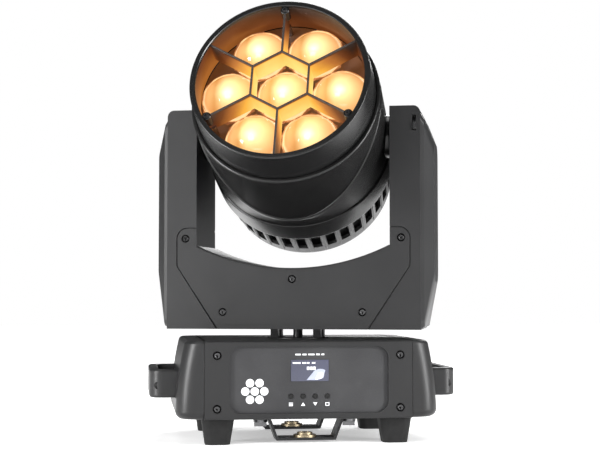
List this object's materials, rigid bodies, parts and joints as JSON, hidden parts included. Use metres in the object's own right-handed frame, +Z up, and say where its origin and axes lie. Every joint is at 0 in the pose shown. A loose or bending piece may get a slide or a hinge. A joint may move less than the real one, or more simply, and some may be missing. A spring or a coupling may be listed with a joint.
{
  "type": "moving head light",
  "caption": "Moving head wash light with hexagonal baffle and domed lenses, a panning yoke, a tilting barrel, a base with handles, screen and buttons, and clamp brackets.",
  "frame": {"origin": "on the floor, under the pan axis, at the middle of the base", "axes": "+Z up along the pan axis, -Y towards the control panel, +X to the panel's right"},
  "size_m": [0.354, 0.3164, 0.5022],
  "materials": {
    "housing_plastic": "fine textured black moulding",
    "handle_plastic": "satin black moulding",
    "panel_face": "fine textured black powder coat",
    "display_glass": "gloss dark blue screen",
    "button_rubber": "matt",
    "barrel_plastic": "satin black",
    "tail_metal": "satin dark grey",
    "chassis_steel": "black powder coat",
    "lock_metal": "dark zinc",
    "locator_brass": "yellow zinc",
    "screw_black": "black oxide with bright drive edges",
    "foot_rubber": "moulded, satin",
    "belt_rubber": "toothed belt",
    "socket_plastic": "satin",
    "board": "solder mask",
    "cast_aluminium": "as cast",
    "supply_case": "folded sheet",
    "bearing_steel": "ground",
    "motor_case": "black with bright end caps",
    "baffle_copper": "black moulding lit amber from the lenses",
    "lens_amber": "clear acrylic lit amber",
    "carriage_plastic": "black moulding"
  },
  "bodies": {
    "base": {"base_back_panel": "housing_plastic", "base_chassis": "chassis_steel", "base_front_frame": "housing_plastic", "base_screws": "screw_black", "base_top_cover": "housing_plastic", "bracket_locators": "locator_brass", "control_board": "board", "control_panel": "panel_face", "data_sockets": "socket_plastic", "display_window": "display_glass", "front_omega_bracket": "chassis_steel", "left_end_cap": "housing_plastic", "left_handle": "handle_plastic", "pan_bearing": "bearing_steel", "pan_belt": "belt_rubber", "pan_motor": "motor_case", "power_fittings": "socket_plastic", "power_supply": "supply_case", "rear_omega_bracket": "chassis_steel", "right_end_cap": "housing_plastic", "right_handle": "handle_plastic", "rubber_feet": "foot_rubber"},
    "yoke": {"pan_hub": "cast_aluminium", "yoke_crossbar": "chassis_steel", "left_arm_frame": "housing_plastic", "right_arm_frame": "housing_plastic", "front_cover": "housing_plastic", "back_cover": "housing_plastic", "left_arm_shell": "housing_plastic", "right_arm_shell": "housing_plastic", "cover_screws": "screw_black", "tilt_motor": "motor_case", "tilt_belt": "belt_rubber", "tilt_bearings": "bearing_steel"},
    "head": {"front_bezel": "barrel_plastic", "hex_baffle": "baffle_copper", "bezel_screws": "screw_black", "front_barrel_shell": "barrel_plastic", "rear_barrel_shell": "barrel_plastic", "tail_grille": "tail_metal", "heatsink": "cast_aluminium", "light_board": "board", "tilt_axles": "cast_aluminium", "zoom_rails_and_motor": "bearing_steel", "fan_frame": "carriage_plastic"},
    "menu_button": {"menu_button": "button_rubber"},
    "up_button": {"up_button": "button_rubber"},
    "down_button": {"down_button": "button_rubber"},
    "enter_button": {"enter_button": "button_rubber"},
    "pan_motor_pulley": {"pan_motor_pulley": "bearing_steel"},
    "tilt_motor_pulley": {"tilt_motor_pulley": "bearing_steel"},
    "tilt_lock": {"tilt_lock": "handle_plastic"},
    "lens_carriage": {"lens_carriage": "carriage_plastic", "lenses": "lens_amber"},
    "zoom_screw": {"zoom_screw": "bearing_steel"},
    "fan_rotor": {"fan_rotor": "carriage_plastic"},
    "front_left_quarter_turn": {"front_left_quarter_turn": "lock_metal"},
    "front_right_quarter_turn": {"front_right_quarter_turn": "lock_metal"},
    "rear_left_quarter_turn": {"rear_left_quarter_turn": "lock_metal"},
    "rear_right_quarter_turn": {"rear_right_quarter_turn": "lock_metal"}
  },
  "joints": [
    {"name": "pan", "type": "hinge", "parent": "base", "child": "yoke", "pos_m": [0, 0, 0.12], "axis": [0, 0, 1], "range_deg": [-253, 287]},
    {"name": "tilt", "type": "hinge", "parent": "yoke", "child": "head", "pos_m": [0, 0, 0.355], "axis": [0.9582, -0.286, 0], "range_deg": [-182, 47]},
    {"name": "pan_motor_turn", "type": "hinge", "parent": "base", "child": "pan_motor_pulley", "pos_m": [-0.078, -0.03, 0.097], "axis": [0, 0, 1], "range_deg": [-1013, 1149]},
    {"name": "tilt_motor_turn", "type": "hinge", "parent": "yoke", "child": "tilt_motor_pulley", "pos_m": [0.11978, -0.03575, 0.188], "axis": [0.9582, -0.286, 0], "range_deg": [-487, 127]},
    {"name": "zoom", "type": "slide", "parent": "head", "child": "lens_carriage", "axis": [-0.2643, -0.8853, 0.3827], "range_m": [-0.016, 0.008]},
    {"name": "zoom_screw_turn", "type": "hinge", "parent": "head", "child": "zoom_screw", "pos_m": [-0.0114, -0.03819, 0.46784], "axis": [-0.2643, -0.8853, 0.3827], "range_deg": [-728, 368]},
    {"name": "fan_spin", "type": "hinge", "parent": "head", "child": "fan_rotor", "pos_m": [0.01982, 0.0664, 0.3263], "axis": [-0.2643, -0.8853, 0.3827], "continuous": true},
    {"name": "tilt_lock_slide", "type": "slide", "parent": "yoke", "child": "tilt_lock", "axis": [0, 0, 1], "range_m": [0, 0.006]},
    {"name": "menu_press", "type": "slide", "parent": "base", "child": "menu_button", "axis": [0, 1, 0], "range_m": [0, 0.0006], "stiffness_N_per_m": 400, "springref_m": -0.0008},
    {"name": "up_press", "type": "slide", "parent": "base", "child": "up_button", "axis": [0, 1, 0], "range_m": [0, 0.0006], "stiffness_N_per_m": 400, "springref_m": -0.0008},
    {"name": "down_press", "type": "slide", "parent": "base", "child": "down_button", "axis": [0, 1, 0], "range_m": [0, 0.0006], "stiffness_N_per_m": 400, "springref_m": -0.0008},
    {"name": "enter_press", "type": "slide", "parent": "base", "child": "enter_button", "axis": [0, 1, 0], "range_m": [0, 0.0006], "stiffness_N_per_m": 400, "springref_m": -0.0008},
    {"name": "front_left_quarter_turn_twist", "type": "hinge", "parent": "base", "child": "front_left_quarter_turn", "pos_m": [-0.051, -0.062, 0.03], "axis": [0, 0, 1], "range_deg": [0, 90]},
    {"name": "front_right_quarter_turn_twist", "type": "hinge", "parent": "base", "child": "front_right_quarter_turn", "pos_m": [0.051, -0.062, 0.03], "axis": [0, 0, 1], "range_deg": [0, 90]},
    {"name": "rear_left_quarter_turn_twist", "type": "hinge", "parent": "base", "child": "rear_left_quarter_turn", "pos_m": [-0.051, 0.062, 0.03], "axis": [0, 0, 1], "range_deg": [0, 90]},
    {"name": "rear_right_quarter_turn_twist", "type": "hinge", "parent": "base", "child": "rear_right_quarter_turn", "pos_m": [0.051, 0.062, 0.03], "axis": [0, 0, 1], "range_deg": [0, 90]}
  ],
  "couplings": [
    {"joint": "pan_motor_turn", "follows": "pan", "ratio": 4},
    {"joint": "tilt_motor_turn", "follows": "tilt", "ratio": 2.6667},
    {"joint": "zoom_screw_turn", "follows": "zoom", "rad_per_m": 785.4}
  ]
}
